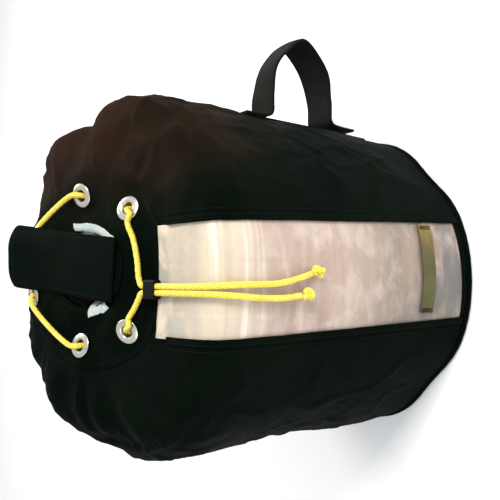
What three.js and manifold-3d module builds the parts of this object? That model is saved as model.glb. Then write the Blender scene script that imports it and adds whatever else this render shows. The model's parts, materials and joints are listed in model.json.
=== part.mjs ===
// A drawstring rope storage bag, standing on its round base with the mouth gathered. Millimetres, +Z up.
// The clear window faces -Y, the carry handle is on the +X side, and the origin is the middle of the base.
import * as THREE from 'three';
import { mergeVertices } from 'three/addons/utils/BufferGeometryUtils.js';
import Module from 'manifold-3d';

const wasm = await Module();
wasm.setup();

// Driving dimensions
const GAP = 0.4; // left between pieces that touch
const FABRIC = 3; // the padded fabric wall
const HEM = 3.4; // the doubled hem round the mouth
const LINER = 1.4;
const LINER_DEPTH = 5.6; // the liner's outer side below the wall's outer side
const HEM_RADIUS = 92; // where the hem is sewn to the wall
const SIDES = 40; // facets round the bag

// The wall's outer side as [radius, height], from the base to the mouth
const OUTLINE = [
  [142, 8.6], [144.3, 20], [148, 76], [152, 146], [155.5, 212], [156, 248],
  [152.5, 277], [143, 295], [124, 305.5], [100, 309.4], [72, 311.6], [36, 314.5],
];

// The gathered top leans: its back stands higher than its front
const LEAN_TOP = 0.35; // height per millimetre of depth, inside LEAN_RADIUS
const LEAN_RADIUS = 72;
const LEAN_LOSS = 0.0028; // lean lost with each millimetre of radius
const LEAN_START = 221;
const LEAN_FULL = 301;

// Near the mouth the gathered face is narrower across and sits a little to the handle's side
const GATHER_SQUEEZE = 0.11;
const GATHER_SHIFT = 7.5;
const GATHER_FROM = 80;
const GATHER_TO = 150;

const PIPING_RADIUS = 3.9;
const PIPING_RING = 140.6;
const BASE_RADIUS = 136.2;
const BASE_THICKNESS = 3;

const WINDOW_HALF = 45; // half the window's width
const WINDOW_MIDDLE = 8.7; // the window's middle at the base, off the front line
const WINDOW_TURN = 2; // degrees that the window runs off the upright
const WINDOW_FOOT = 15;
const WINDOW_END = -92.4; // where the window's top end stops on the gathered face
const WINDOW_DEPTH = [0.5, 2]; // the clear sheet's two faces below the wall's outer side
const BINDING = 5;
const ID_STRIP = { x: 9, z: 62, length: 76, width: 15 };

const EYELET_ANGLES = [50, 96, 157, 199, 264, 310]; // degrees from the front, towards +X
const EYELET_RING = 72;
const EYELET_OUTER = 10.4;
const EYELET_BARREL = 6;
const EYELET_BORE = 4.75;
const EYELET_LIFT = 0.8; // keeps the flat flanges clear of the curved hem

const CORD_RADIUS = 2.3;
const CORD_SIDES = 8;

// The cord keeper slides down this line, which the two tails share
const KEEPER_X = -8;
const KEEPER_FROM = new THREE.Vector3(KEEPER_X, -76, 293.2);
const KEEPER_TO = new THREE.Vector3(KEEPER_X, -128, 283.2);
const KEEPER_SIZE = [15, 7.4, 13]; // across, thick, along the cord
const KEEPER_SLOT = [10.4, 5.4];

const HANDLE_WIDTH = 38;
const HANDLE_THICKNESS = 2.6;
const HANDLE_FOOT_Z = [63, 134]; // heights of the two legs
const HANDLE_ROOT = 178; // distance from the axis at which the loop is free to swing
const FOOT_TOP = 161.5;
const HANDLE_REACH = 239;

const FLAP_WIDTH = 53;
const FLAP_THICKNESS = 3;
const FLAP_ROOT = new THREE.Vector3(7, -40, 305.5);
const FLAP_TIP = new THREE.Vector3(21, 82, 353.5);

const UP = new THREE.Vector3(0, 0, 1);
const bag = new THREE.Group();

const FINISHES = {
  fabric: { color: 0x101512, roughness: 0.8, metalness: 0 },
  hem: { color: 0x0c100e, roughness: 0.85, metalness: 0 },
  liner: { color: 0xcfc6b8, roughness: 0.8, metalness: 0 },
  clear: { color: 0xe4e4e0, roughness: 0.15, metalness: 0 },
  steel: { color: 0xc9c7ba, roughness: 0.3, metalness: 0.9 },
  cord: { color: 0xf0d435, roughness: 0.7, metalness: 0 },
  keeper: { color: 0x0a0a0a, roughness: 0.5, metalness: 0 },
  webbing: { color: 0x0e110f, roughness: 0.8, metalness: 0 },
  strip: { color: 0x55522c, roughness: 0.8, metalness: 0 },
  thread: { color: 0x1b1a14, roughness: 0.8, metalness: 0 },
};

function add(name, geometry, finish, parent = bag) {
  const mesh = new THREE.Mesh(geometry, new THREE.MeshStandardMaterial(FINISHES[finish]));
  mesh.name = name;
  parent.add(mesh);
  return mesh;
}

// A closed geometry as a solid that can be cut
function toSolid(geometry) {
  const bare = geometry.clone();
  bare.deleteAttribute('normal');
  bare.deleteAttribute('uv');
  const merged = mergeVertices(bare, 1e-4);
  const mesh = new wasm.Mesh({
    numProp: 3,
    vertProperties: new Float32Array(merged.attributes.position.array),
    triVerts: new Uint32Array(merged.index.array),
  });
  return new wasm.Manifold(mesh);
}

function toGeometry(solid) {
  const mesh = solid.getMesh();
  const geometry = new THREE.BufferGeometry();
  const positions = new Float32Array((mesh.vertProperties.length / mesh.numProp) * 3);
  for (let i = 0; i < positions.length / 3; i += 1) {
    for (let k = 0; k < 3; k += 1) positions[i * 3 + k] = mesh.vertProperties[i * mesh.numProp + k];
  }
  geometry.setAttribute('position', new THREE.BufferAttribute(positions, 3));
  geometry.setIndex(new THREE.BufferAttribute(new Uint32Array(mesh.triVerts), 1));
  return geometry;
}

// How much the bag leans at a radius and height, as height per millimetre towards the back
function lean(radius, height) {
  const top = LEAN_TOP - LEAN_LOSS * Math.max(0, radius - LEAN_RADIUS);
  return top * THREE.MathUtils.smoothstep(height, LEAN_START, LEAN_FULL);
}

// Moves a point of the upright round bag to where it lies on the gathered one
function gather(point) {
  const radius = Math.hypot(point.x, point.y);
  const amount = 1 - THREE.MathUtils.smoothstep(radius, GATHER_FROM, GATHER_TO);
  const height = point.z > LEAN_START ? amount : 0;
  point.z += point.y * lean(radius, point.z);
  point.x += height * (GATHER_SHIFT - GATHER_SQUEEZE * point.x);
  return point;
}

function gathered(geometry) {
  const position = geometry.attributes.position;
  const point = new THREE.Vector3();
  for (let i = 0; i < position.count; i += 1) {
    gather(point.fromBufferAttribute(position, i));
    position.setXYZ(i, point.x, point.y, point.z);
  }
  return geometry;
}

// The outline as a smooth curve, and that curve moved in by a depth
const outline = new THREE.SplineCurve(OUTLINE.map(([r, z]) => new THREE.Vector2(r, z)));

function wallPoint(t, depth) {
  const point = outline.getPoint(t);
  const along = outline.getTangent(t);
  return new THREE.Vector2(point.x - along.y * depth, point.y + along.x * depth);
}

// The curve parameter at which the outline has this radius, on its way in to the mouth
function parameterAtRadius(radius) {
  let low = 0.5;
  let high = 1;
  for (let i = 0; i < 40; i += 1) {
    const middle = (low + high) / 2;
    if (outline.getPoint(middle).x > radius) low = middle;
    else high = middle;
  }
  return low;
}

// A turned shell between two depths under the outline, from one curve parameter to another
function shell(from, to, outerDepth, innerDepth, steps) {
  const outer = [];
  const inner = [];
  for (let i = 0; i <= steps; i += 1) {
    const t = from + ((to - from) * i) / steps;
    outer.push(wallPoint(t, outerDepth));
    inner.push(wallPoint(t, innerDepth));
  }
  const profile = [...outer, ...inner.reverse(), outer[0].clone()];
  return gathered(new THREE.LatheGeometry(profile, SIDES).rotateX(Math.PI / 2));
}

// A point on the leaned outer side of the gathered face, with the outward normal there
function facePoint(radius, degrees) {
  const place = (r, a) => {
    const z = outline.getPoint(parameterAtRadius(r)).y;
    return gather(new THREE.Vector3(r * Math.sin(a), -r * Math.cos(a), z));
  };
  const a = THREE.MathUtils.degToRad(degrees);
  const point = place(radius, a);
  const inward = place(radius - 8, a).sub(place(radius + 8, a));
  const around = place(radius, a + 0.1).sub(place(radius, a - 0.1));
  const normal = around.clone().cross(inward).normalize();
  return { point, normal, around: around.normalize() };
}

// Stands a geometry that was made along +Z at a point, turned to a normal
function stand(mesh, point, normal, out = 0) {
  mesh.position.copy(point).addScaledVector(normal, out);
  mesh.quaternion.setFromUnitVectors(UP, normal);
  return mesh;
}

function ring(inner, outer, low, high, sides) {
  const profile = [[inner, low], [outer, low], [outer, high], [inner, high], [inner, low]];
  return new THREE.LatheGeometry(profile.map(([r, z]) => new THREE.Vector2(r, z)), sides).rotateX(Math.PI / 2);
}

function box(width, depth, height) {
  return new THREE.BoxGeometry(width, depth, height);
}

// The part of the front that the window takes up, wider or narrower by a margin
function windowBlock(margin, end, foot = WINDOW_FOOT) {
  const block = box(2 * (WINDOW_HALF + margin), 200, 400);
  block.translate(WINDOW_MIDDLE, end - 100, foot + 200);
  block.rotateY(-THREE.MathUtils.degToRad(WINDOW_TURN));
  return toSolid(block);
}

const hemFrom = parameterAtRadius(HEM_RADIUS);

function addWall() {
  const wall = toSolid(shell(0, hemFrom - 0.004, 0, FABRIC, 16));
  add('body_shell', toGeometry(wall.subtract(windowBlock(GAP, WINDOW_END + GAP))), 'fabric');
  const sheet = toSolid(shell(0.01, hemFrom - 0.004, ...WINDOW_DEPTH, 16));
  add('window_panel', toGeometry(sheet.intersect(windowBlock(0, WINDOW_END))), 'clear');
}

// Folded edges of the wall that overlap the clear sheet on both sides
function addWindowBindings() {
  const band = toSolid(shell(0.012, hemFrom - 0.006, -1.4, -GAP, 16));
  const middle = windowBlock(-BINDING / 2, 0, -50);
  const strips = band.intersect(windowBlock(BINDING / 2, WINDOW_END - 1)).subtract(middle);
  const half = toSolid(box(200, 600, 900).translate(104, 0, 0));
  add('window_binding_right', toGeometry(strips.intersect(half)), 'fabric');
  add('window_binding_left', toGeometry(strips.subtract(half)), 'fabric');
  const face = toSolid(shell(hemFrom - 0.05, parameterAtRadius(70), -1.6, -GAP, 5));
  const edge = toSolid(box(2 * WINDOW_HALF - 8, 13, 200).translate(-1, -85.6, 286));
  add('window_top_edge', toGeometry(face.intersect(edge)), 'clear');
}

function addHem() {
  let hem = toSolid(shell(hemFrom + 0.004, 1, 0, HEM, 6));
  for (const degrees of EYELET_ANGLES) {
    const { point, normal } = facePoint(EYELET_RING, degrees);
    const hole = new THREE.CylinderGeometry(EYELET_BARREL + GAP, EYELET_BARREL + GAP, 24, 16);
    hole.rotateX(Math.PI / 2);
    const turn = new THREE.Quaternion().setFromUnitVectors(UP, normal);
    hole.applyQuaternion(turn).translate(...point);
    hem = hem.subtract(toSolid(hole));
  }
  add('mouth_hem', toGeometry(hem), 'hem');
}

function addLiner() {
  const sleeve = toSolid(shell(0.004, parameterAtRadius(97), LINER_DEPTH, LINER_DEPTH + LINER, 12));
  const sole = toSolid(new THREE.CylinderGeometry(136.4, 136, 2.4, SIDES).rotateX(Math.PI / 2).translate(0, 0, 9.8));
  add('inner_liner', toGeometry(sleeve.add(sole)), 'liner');
}

function addBase() {
  const panel = new THREE.CylinderGeometry(BASE_RADIUS, BASE_RADIUS, BASE_THICKNESS, SIDES);
  add('base_panel', panel.rotateX(Math.PI / 2).translate(0, 0, BASE_THICKNESS / 2), 'fabric');
  const piping = new THREE.TorusGeometry(PIPING_RING, PIPING_RADIUS, 8, SIDES);
  add('base_piping', piping.translate(0, 0, PIPING_RADIUS + 0.3), 'hem');
}

// A strip across the window, sewn down with a tack at each end
function addIdStrip() {
  const layer = (outside, inside) => toSolid(shell(0.03, 0.3, -outside, -inside, 10));
  const block = (width, height, x) => toSolid(box(width, 80, height).translate(x, -150, ID_STRIP.z));
  const strip = layer(1.8, 0.6).intersect(block(ID_STRIP.length, ID_STRIP.width, ID_STRIP.x));
  add('id_strip', toGeometry(strip), 'strip');
  for (const [name, x] of [['left', -26], ['right', 44]]) {
    const tack = layer(2.9, 2.2).intersect(block(3, ID_STRIP.width - 2, x));
    add(`id_tack_${name}`, toGeometry(tack), 'thread');
  }
}

function addEyelets() {
  const half = [
    [EYELET_BORE, -HEM - 2.4], [EYELET_BARREL, -HEM - 2.4], [EYELET_BARREL, GAP], [EYELET_OUTER, GAP],
    [EYELET_OUTER - 0.5, 1.2], [EYELET_BARREL + 1.6, 1.9], [EYELET_BORE, 1.3], [EYELET_BORE, -HEM - 2.4],
  ];
  const profile = half.map(([r, z]) => new THREE.Vector2(r, z));
  EYELET_ANGLES.forEach((degrees, i) => {
    const { point, normal } = facePoint(EYELET_RING, degrees);
    const eyelet = new THREE.LatheGeometry(profile, 16).rotateX(Math.PI / 2);
    stand(add(`eyelet_${i + 1}`, eyelet, 'steel'), point, normal, EYELET_LIFT);
    const washer = ring(EYELET_BARREL + GAP, EYELET_OUTER - 0.8, -0.5, 0.5, 16);
    stand(add(`eyelet_washer_${i + 1}`, washer, 'steel'), point, normal, -HEM - EYELET_LIFT - 0.9);
  });
}

// How the cord goes through an eyelet, from outside to inside, as [along the ring, out of the face]
const THROUGH = [[-9, 5.8], [-2.1, 4], [0, -1.3], [2.1, -6.8], [9, -9]];

function eyeletRun(index, step, inwards) {
  const { point, normal, around } = facePoint(EYELET_RING, EYELET_ANGLES[index]);
  const pairs = inwards ? THROUGH : THROUGH.map(([along, out]) => [-along, out]).reverse();
  return pairs.map(([along, out]) => point.clone().addScaledVector(around, along * step).addScaledVector(normal, out));
}

// The cord goes round the mouth from the keeper to the keeper, in and out of the six eyelets in turn
function drawcordPoints() {
  const route = [
    new THREE.Vector3(KEEPER_X + 2.5, -72, 294),
    new THREE.Vector3(KEEPER_X + 3.6, -68, 294.4),
    new THREE.Vector3(KEEPER_X + 8.5, -64.5, 294.6),
    new THREE.Vector3(15, -61.5, 294.8),
    new THREE.Vector3(32, -56.5, 296.2),
    new THREE.Vector3(45, -51, 298.6),
  ];
  EYELET_ANGLES.forEach((_, i) => route.push(...eyeletRun(i, 1, i % 2 === 0)));
  route.push(
    new THREE.Vector3(-32, -52.5, 298),
    new THREE.Vector3(-24, -58.5, 296),
    new THREE.Vector3(KEEPER_X - 8.5, -64, 294.8),
    new THREE.Vector3(KEEPER_X - 3.6, -68, 294.4),
    new THREE.Vector3(KEEPER_X - 2.5, -72, 294),
  );
  return route;
}

// The two tails go through the keeper side by side, over the shoulder, and hang down the window
const TAILS = {
  right: [
    [-5.5, -73.4, 293.75], [-5.5, -100, 288.6], [-5.5, -128, 283.2], [-5.2, -142, 279.4], [-4.6, -152.6, 271],
    [-4, -158, 259], [-3.8, -159.2, 244], [-3.4, -159.3, 230], [-1.6, -159.2, 218], [1.4, -158.8, 206], [4, -158.3, 197],
  ],
  left: [
    [-10.5, -73.4, 293.75], [-10.5, -100, 288.6], [-10.5, -128, 283.2], [-10.6, -142, 279.4], [-11.2, -152.6, 271],
    [-12.2, -157.8, 259], [-13.4, -159, 244], [-14, -159.1, 230], [-13.4, -159, 217], [-12.2, -158.7, 207],
  ],
};
const KNOTS = { right: [5.6, -159.6, 191], left: [-11.4, -159.8, 201] };

function tube(points, steps) {
  const path = new THREE.CatmullRomCurve3(points, false, 'centripetal');
  const section = new THREE.Shape();
  for (let i = 0; i < CORD_SIDES; i += 1) {
    const a = (i / CORD_SIDES) * 2 * Math.PI;
    section[i ? 'lineTo' : 'moveTo'](CORD_RADIUS * Math.cos(a), CORD_RADIUS * Math.sin(a));
  }
  section.closePath();
  return new THREE.ExtrudeGeometry(section, { steps, bevelEnabled: false, extrudePath: path });
}

function addCord() {
  add('drawcord', tube(drawcordPoints(), 110), 'cord');
  for (const side of ['left', 'right']) {
    add(`cord_tail_${side}`, tube(TAILS[side].map((p) => new THREE.Vector3(...p)), 24), 'cord');
    const knot = new THREE.SphereGeometry(5.4, 12, 8).rotateX(Math.PI / 2).scale(1, 0.9, 1.05);
    add(`cord_knot_${side}`, knot, 'cord').position.set(...KNOTS[side]);
  }
}

function rectangle(width, height, corner, target = new THREE.Shape()) {
  const [x, y] = [width / 2, height / 2];
  target.moveTo(x, y - corner);
  target.absarc(x - corner, y - corner, corner, 0, Math.PI / 2);
  target.absarc(corner - x, y - corner, corner, Math.PI / 2, Math.PI);
  target.absarc(corner - x, corner - y, corner, Math.PI, 1.5 * Math.PI);
  target.absarc(x - corner, corner - y, corner, 1.5 * Math.PI, 2 * Math.PI);
  return target;
}

function addKeeper() {
  const [width, thickness, length] = KEEPER_SIZE;
  const section = rectangle(width, thickness, 2);
  section.holes.push(rectangle(...KEEPER_SLOT, 1, new THREE.Path()));
  const sleeve = new THREE.ExtrudeGeometry(section, { depth: length, bevelEnabled: false, curveSegments: 3 });
  const along = KEEPER_TO.clone().sub(KEEPER_FROM).normalize();
  const keeper = add('cord_keeper', sleeve, 'keeper');
  keeper.position.copy(KEEPER_FROM);
  keeper.quaternion.setFromRotationMatrix(new THREE.Matrix4().makeBasis(
    new THREE.Vector3(1, 0, 0),
    along.clone().cross(new THREE.Vector3(1, 0, 0)),
    along,
  ));
}

// The webbing loop as an outline in the XZ plane, pulled out to its width along Y
function addHandle() {
  const [low, high] = HANDLE_FOOT_Z;
  const middle = (low + high) / 2;
  const half = (high - low) / 2;
  const line = new THREE.SplineCurve([
    new THREE.Vector2(HANDLE_ROOT, middle - half),
    new THREE.Vector2(HANDLE_ROOT + 25, middle - half * 0.9),
    new THREE.Vector2(HANDLE_REACH - 16, middle - half * 0.56),
    new THREE.Vector2(HANDLE_REACH - 1, middle),
    new THREE.Vector2(HANDLE_REACH - 16, middle + half * 0.56),
    new THREE.Vector2(HANDLE_ROOT + 25, middle + half * 0.9),
    new THREE.Vector2(HANDLE_ROOT, middle + half),
  ]);
  add('handle_webbing', flatBand(line, 22, HANDLE_WIDTH), 'webbing');
  for (const [name, z, side] of [['lower', low, -1], ['upper', high, 1]]) {
    const foot = new THREE.SplineCurve([
      new THREE.Vector2(FOOT_TOP, z),
      new THREE.Vector2(FOOT_TOP - 4 + side * 0.4, z + side * 3),
      new THREE.Vector2(FOOT_TOP - 5.6 + side * 1.1, z + side * 12),
      new THREE.Vector2(FOOT_TOP - 6 + side * 2, z + side * 30),
    ]);
    add(`handle_foot_${name}`, flatBand(foot, 10, HANDLE_WIDTH), 'webbing');
  }
  const patch = toSolid(shell(0.02, 0.42, -2.2, -GAP, 10));
  const area = toSolid(box(60, 54, 146).translate(160, 0, (low + high) / 2));
  add('handle_patch', toGeometry(patch.intersect(area)), 'fabric');
}

// A band of webbing whose edge view is a line in the XZ plane
function flatBand(line, steps, width) {
  const outer = [];
  const inner = [];
  for (let i = 0; i <= steps; i += 1) {
    const point = line.getPoint(i / steps);
    const along = line.getTangent(i / steps);
    const side = new THREE.Vector2(along.y, -along.x).multiplyScalar(HANDLE_THICKNESS / 2);
    outer.push(point.clone().add(side));
    inner.push(point.clone().sub(side));
  }
  const shape = new THREE.Shape([...outer, ...inner.reverse()]);
  const band = new THREE.ExtrudeGeometry(shape, { depth: width, bevelEnabled: false });
  return band.rotateX(Math.PI / 2).translate(0, width / 2, 0);
}

function addFlap() {
  const length = FLAP_ROOT.distanceTo(FLAP_TIP);
  const along = FLAP_TIP.clone().sub(FLAP_ROOT).normalize();
  const across = along.clone().cross(UP).normalize();
  const sheet = rectangle(FLAP_WIDTH, length, 5);
  const slab = new THREE.ExtrudeGeometry(sheet, { depth: FLAP_THICKNESS, bevelEnabled: false, curveSegments: 4 });
  const flap = add('mouth_flap', slab.translate(0, length / 2, -FLAP_THICKNESS / 2), 'hem');
  flap.position.copy(FLAP_ROOT);
  flap.quaternion.setFromRotationMatrix(new THREE.Matrix4().makeBasis(across, along, across.clone().cross(along)));
}

// The strip on the hem's edge that the flap is sewn to
function addFlapTab() {
  const edge = toSolid(shell(parameterAtRadius(44), parameterAtRadius(37), -2.3, -GAP, 3));
  const area = toSolid(box(40, 60, 100).translate(FLAP_ROOT.x, -60, 300));
  add('flap_tab', toGeometry(edge.intersect(area)), 'hem');
}

addWall();
addWindowBindings();
addHem();
addLiner();
addBase();
addIdStrip();
addEyelets();
addCord();
addKeeper();
addHandle();
addFlap();
addFlapTab();

export default bag;
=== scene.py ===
import json
from math import atan2, cos, exp, hypot, pi, radians, sin, tan

import bmesh
import bpy
from mathutils import Matrix, Vector, noise
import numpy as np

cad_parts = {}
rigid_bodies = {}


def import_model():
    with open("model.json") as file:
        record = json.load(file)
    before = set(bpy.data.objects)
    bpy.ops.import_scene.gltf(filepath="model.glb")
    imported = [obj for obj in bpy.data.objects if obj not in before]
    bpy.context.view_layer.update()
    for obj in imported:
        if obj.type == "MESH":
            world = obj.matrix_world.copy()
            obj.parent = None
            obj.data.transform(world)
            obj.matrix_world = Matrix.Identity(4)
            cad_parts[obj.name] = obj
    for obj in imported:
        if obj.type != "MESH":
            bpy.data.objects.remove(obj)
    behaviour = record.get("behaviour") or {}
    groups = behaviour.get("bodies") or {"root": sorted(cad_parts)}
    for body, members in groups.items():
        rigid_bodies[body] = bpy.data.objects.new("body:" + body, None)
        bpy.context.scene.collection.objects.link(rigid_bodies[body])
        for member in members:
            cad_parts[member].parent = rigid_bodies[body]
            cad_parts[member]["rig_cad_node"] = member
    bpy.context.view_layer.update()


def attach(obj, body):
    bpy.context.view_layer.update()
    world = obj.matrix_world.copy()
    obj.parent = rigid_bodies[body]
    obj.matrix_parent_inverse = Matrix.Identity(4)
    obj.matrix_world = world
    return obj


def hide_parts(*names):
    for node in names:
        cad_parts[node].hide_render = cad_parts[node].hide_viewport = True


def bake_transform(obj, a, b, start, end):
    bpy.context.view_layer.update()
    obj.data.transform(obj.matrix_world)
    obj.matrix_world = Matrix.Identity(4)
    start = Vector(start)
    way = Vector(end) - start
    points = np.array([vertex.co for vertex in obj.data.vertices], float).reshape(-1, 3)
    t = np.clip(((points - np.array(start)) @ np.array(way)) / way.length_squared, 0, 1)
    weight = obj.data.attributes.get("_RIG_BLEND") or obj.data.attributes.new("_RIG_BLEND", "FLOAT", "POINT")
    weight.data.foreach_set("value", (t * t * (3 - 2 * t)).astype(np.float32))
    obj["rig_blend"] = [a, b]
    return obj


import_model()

X, Y, Z = Vector((1, 0, 0)), Vector((0, 1, 0)), Vector((0, 0, 1))
MM = 0.001

# ---- camera --------------------------------------------------------------------------------------

EYE = Vector((0, -0.598, 0.5373))
AIM = Vector((0.028, 0, 0.149))


def add_camera():
    """Looks down on the window side, rolled so that the handle is uppermost."""
    data = bpy.data.cameras.new("camera")
    data.lens = 53.3
    data.sensor_width = 36
    camera = bpy.data.objects.new("camera", data)
    ahead = (AIM - EYE).normalized()
    up = (X - ahead * X.dot(ahead)).normalized()
    right = ahead.cross(up)
    camera.matrix_world = Matrix.Translation(EYE) @ Matrix((right, up, -ahead)).transposed().to_4x4()
    bpy.context.scene.collection.objects.link(camera)
    bpy.context.scene.camera = camera


add_camera()

# ---- the bag's form, shared by every sewn piece --------------------------------------------------

# The wall from the base to the mouth, as (radius, height) in millimetres
OUTLINE = [
    (142, 8.6), (144.3, 20), (148, 76), (152, 146), (155.5, 212), (156, 248),
    (152.5, 277), (143, 295), (124, 305.5), (100, 309.4), (72, 311.6), (36, 314.5),
]

# The gathered top leans back, is narrower across and sits a little to the handle's side
LEAN_TOP = 0.35
LEAN_RADIUS = 0.072
LEAN_LOSS = 2.8
LEAN_START, LEAN_FULL = 0.221, 0.301
GATHER_FROM, GATHER_TO = 0.080, 0.150
GATHER_SHIFT = 0.0075
GATHER_SQUEEZE = 0.11

# The clear window runs a little off the upright
WINDOW_MIDDLE = 0.0087
WINDOW_HALF = 0.045
WINDOW_SLOPE = 0.035
WINDOW_TURN = radians(2)
WINDOW_ACROSS = Vector((cos(WINDOW_TURN), 0, sin(WINDOW_TURN)))
WINDOW_UP = Vector((-sin(WINDOW_TURN), 0, cos(WINDOW_TURN)))
WINDOW_FOOT = 0.015
WINDOW_END = -0.0924

# Degrees round the mouth from the front, and how far each eyelet is turned about the way round
EYELET_ANGLES = [50, 96, 157, 199, 264, 310]
EYELET_TILTS = [17, -19, -8, 8, -16, 20]
EYELET_RING = 0.072
PIPING_RADIUS = 0.0039
HEM_RADIUS = 0.092  # where the hem is sewn to the wall
EYELET_LIFT = 0.0008  # how far the eyelets stand off the hem
HEM = 0.0034  # the hem's thickness


def smooth(value, low, high):
    share = min(1, max(0, (value - low) / (high - low)))
    return share * share * (3 - 2 * share)


def spline(points, t):
    """A point on the even Catmull-Rom curve through the points, and its direction there."""
    last = len(points) - 1
    place = min(max(t, 0), 1) * last
    i = min(int(place), last - 1)
    w = place - i
    a, b = Vector(points[max(i - 1, 0)]), Vector(points[i])
    c, d = Vector(points[i + 1]), Vector(points[min(i + 2, last)])
    v0, v1 = (c - a) / 2, (d - b) / 2
    at = (2 * b - 2 * c + v0 + v1) * w**3 + (-3 * b + 3 * c - 2 * v0 - v1) * w**2 + v0 * w + b
    way = 3 * (2 * b - 2 * c + v0 + v1) * w**2 + 2 * (-3 * b + 3 * c - 2 * v0 - v1) * w + v0
    return at, way.normalized()


def wall_at(t, out=0.0):
    """The outline's point at t as (radius, height) in metres, moved outwards."""
    at, way = spline(OUTLINE, t)
    return at.x * MM + way.y * out, at.y * MM - way.x * out


def t_at_radius(radius):
    low, high = 0.5, 1.0
    for _ in range(40):
        middle = (low + high) / 2
        if wall_at(middle)[0] > radius:
            low = middle
        else:
            high = middle
    return low


def t_at_height(height):
    low, high = 0.0, 0.5
    for _ in range(40):
        middle = (low + high) / 2
        if wall_at(middle)[1] < height:
            low = middle
        else:
            high = middle
    return low


def lean(radius, height):
    """How much a point rises for each metre that it is towards the back."""
    top = LEAN_TOP - LEAN_LOSS * max(0, radius - LEAN_RADIUS)
    return top * smooth(height, LEAN_START, LEAN_FULL)


def gather(point):
    """Moves a point of the upright round bag to where it lies on the gathered one."""
    radius = hypot(point.x, point.y)
    amount = 1 - smooth(radius, GATHER_FROM, GATHER_TO) if point.z > LEAN_START else 0
    up = point.z + point.y * lean(radius, point.z)
    return Vector((point.x + amount * (GATHER_SHIFT - GATHER_SQUEEZE * point.x), point.y, up))


def on_face(radius, degrees):
    """A point on the gathered face, its outward normal and the way round the ring."""

    def place(r, angle):
        return gather(Vector((r * sin(angle), -r * cos(angle), wall_at(t_at_radius(r))[1])))

    angle = radians(degrees)
    inward = place(radius - 0.008, angle) - place(radius + 0.008, angle)
    around = place(radius, angle + 0.1) - place(radius, angle - 0.1)
    return place(radius, angle), around.cross(inward).normalized(), around.normalized()


EYELETS = [on_face(EYELET_RING, degrees) for degrees in EYELET_ANGLES]


def tilt_height(point):
    """How far the cloth round each eyelet is turned with it, in metres."""
    height = 0.0
    for (at, normal, around), tilt in zip(EYELETS, EYELET_TILTS):
        off = point - at
        near = 1 - smooth(off.length, 0.011, 0.030)
        if near > 0:
            out_way = around.cross(normal)
            height -= off.dot(out_way) * tan(radians(tilt)) * near
    return height

# ---- cords ---------------------------------------------------------------------------------------

# All in millimetres. Each step through an eyelet is (way round, way out) from its middle.
CORD_RADIUS = 2.3
THROUGH = [(-9, 5.8), (-2.1, 4), (0, -1.3), (2.1, -6.8), (9, -9)]
CORD_START = [
    (-5.5, -72, 294), (-4.4, -68, 294.4), (0.5, -64.5, 294.6),
    (15, -61.5, 294.8), (32, -56.5, 296.2), (45, -51, 298.6),
]
CORD_END = [
    (-32, -52.5, 298), (-24, -58.5, 296), (-16.5, -64, 294.8),
    (-11.6, -68, 294.4), (-10.5, -72, 294),
]
TAILS = {
    "right": [
        (-5.5, -73.4, 293.75), (-5.5, -100, 288.6), (-5.5, -128, 283.2), (-5.2, -142, 279.4),
        (-4.6, -152.6, 271), (-4, -158, 259), (-3.8, -159.2, 244), (-3.4, -159.3, 230),
        (-1.6, -159.2, 218), (1.4, -158.8, 206), (4, -158.3, 197),
    ],
    "left": [
        (-10.5, -73.4, 293.75), (-10.5, -100, 288.6), (-10.5, -128, 283.2), (-10.6, -142, 279.4),
        (-11.2, -152.6, 271), (-12.2, -157.8, 259), (-13.4, -159, 244), (-14, -159.1, 230),
        (-13.4, -159, 217), (-12.2, -158.7, 207),
    ],
}
KNOTS = {"right": (5.6, -159.6, 191), "left": (-11.4, -159.8, 201)}


def drawcord_points():
    """From the keeper round the mouth to the keeper, in and out of the six eyelets in turn."""
    route = [Vector(p) * MM for p in CORD_START]
    for i, (point, normal, around) in enumerate(EYELETS):
        steps = THROUGH if i % 2 == 0 else [(-along, out) for along, out in reversed(THROUGH)]
        route += [point + around * along * MM + normal * out * MM for along, out in steps]
    return route + [Vector(p) * MM for p in CORD_END]


def even_points(points, gap):
    """Points about a gap apart on the centripetal Catmull-Rom curve through the given ones."""
    p = [Vector(v) for v in points]
    p = [2 * p[0] - p[1]] + p + [2 * p[-1] - p[-2]]
    fine = []
    for a, b, c, d in zip(p, p[1:], p[2:], p[3:]):
        ta, tb = (a - b).length ** 0.5, (b - c).length ** 0.5
        tc = (c - d).length ** 0.5
        v1 = tb * ((b - a) / ta - (c - a) / (ta + tb) + (c - b) / tb)
        v2 = tb * ((c - b) / tb - (d - b) / (tb + tc) + (d - c) / tc)
        for k in range(24):
            w = k / 24
            fine.append((2 * b - 2 * c + v1 + v2) * w**3 + (-3 * b + 3 * c - 2 * v1 - v2) * w**2 + v1 * w + b)
    fine.append(p[-2])
    run = [0.0]
    for a, b in zip(fine, fine[1:]):
        run.append(run[-1] + (b - a).length)
    count = max(2, round(run[-1] / gap))
    even, i = [], 0
    for k in range(count + 1):
        want = run[-1] * k / count
        while i < len(run) - 2 and run[i + 1] < want:
            i += 1
        share = (want - run[i]) / max(run[i + 1] - run[i], 1e-12)
        even.append(fine[i].lerp(fine[i + 1], min(1, max(0, share))))
    return even


def length_of(points):
    return sum((b - a).length for a, b in zip(points, points[1:]))


# ---- how the cloth settles -----------------------------------------------------------------------

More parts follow.
